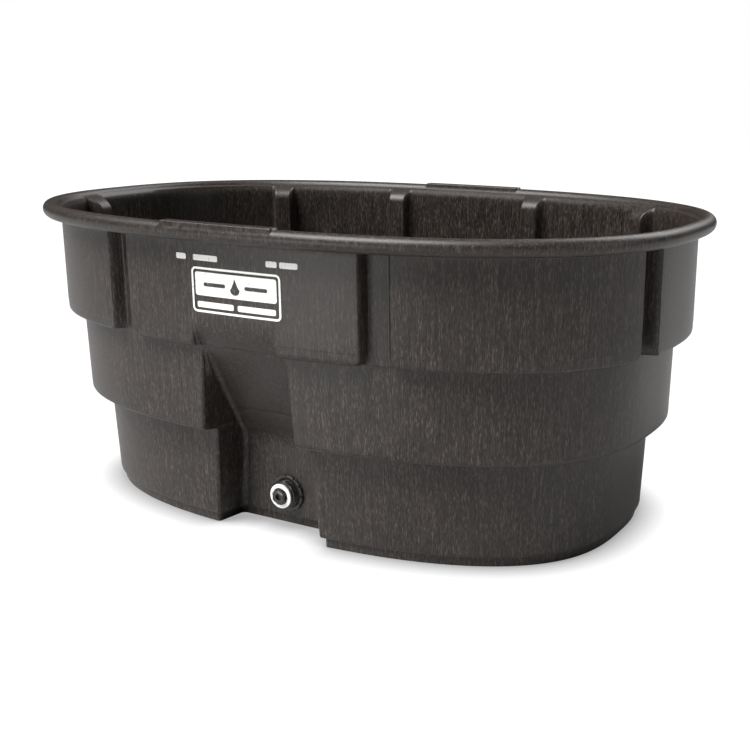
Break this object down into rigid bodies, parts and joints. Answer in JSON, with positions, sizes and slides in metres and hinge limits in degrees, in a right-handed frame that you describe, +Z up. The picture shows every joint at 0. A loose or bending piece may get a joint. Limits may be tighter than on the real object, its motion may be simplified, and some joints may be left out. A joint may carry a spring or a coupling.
{
  "type": "livestock water trough",
  "caption": "Oval one-piece moulded plastic stock trough with a rolled rim, inner ribs and a threaded drain fitting with a screw plug in a front recess.",
  "frame": {"origin": "centre of the tank at the underside of its foot", "axes": "+X along the length, -Y towards the side with the drain recess and the label, +Z up"},
  "size_m": [1.473, 0.991, 0.635],
  "materials": {
    "tank_polyethylene": "structural-foam moulded polyethylene, warm grey-black with a fine vertical grain",
    "fitting_nylon": "injection moulded, satin black",
    "gasket_rubber": "plain matt rubber",
    "washer_polyethylene": "die-cut sheet, dark grey",
    "plug_nylon": "injection moulded, satin black",
    "seal_white": "moulded white sealing ring, slightly glossy",
    "label_white": "hot-stamped white foil",
    "label_dark": "hot-stamped dark foil"
  },
  "bodies": {
    "tank": {"tank_body": "tank_polyethylene", "drain_spout": "fitting_nylon", "spout_gasket": "gasket_rubber", "slip_washer": "washer_polyethylene", "spout_locknut": "fitting_nylon", "label_frame": "label_white", "label_field": "label_white", "label_pictogram": "label_dark", "capacity_marks": "label_white"},
    "plug_seal": {"plug_seal": "seal_white"},
    "drain_plug": {"drain_plug": "plug_nylon"}
  },
  "joints": [
    {"name": "plug_out", "type": "slide", "parent": "tank", "child": "plug_seal", "axis": [0, -1, 0], "range_m": [0, 0.015]},
    {"name": "plug_turn", "type": "hinge", "parent": "plug_seal", "child": "drain_plug", "pos_m": [0, -0.324, 0.069], "axis": [0, -1, 0], "range_deg": [0, 1800]}
  ],
  "couplings": [
    {"joint": "plug_out", "follows": "plug_turn", "m_per_rad": 0.000477}
  ]
}
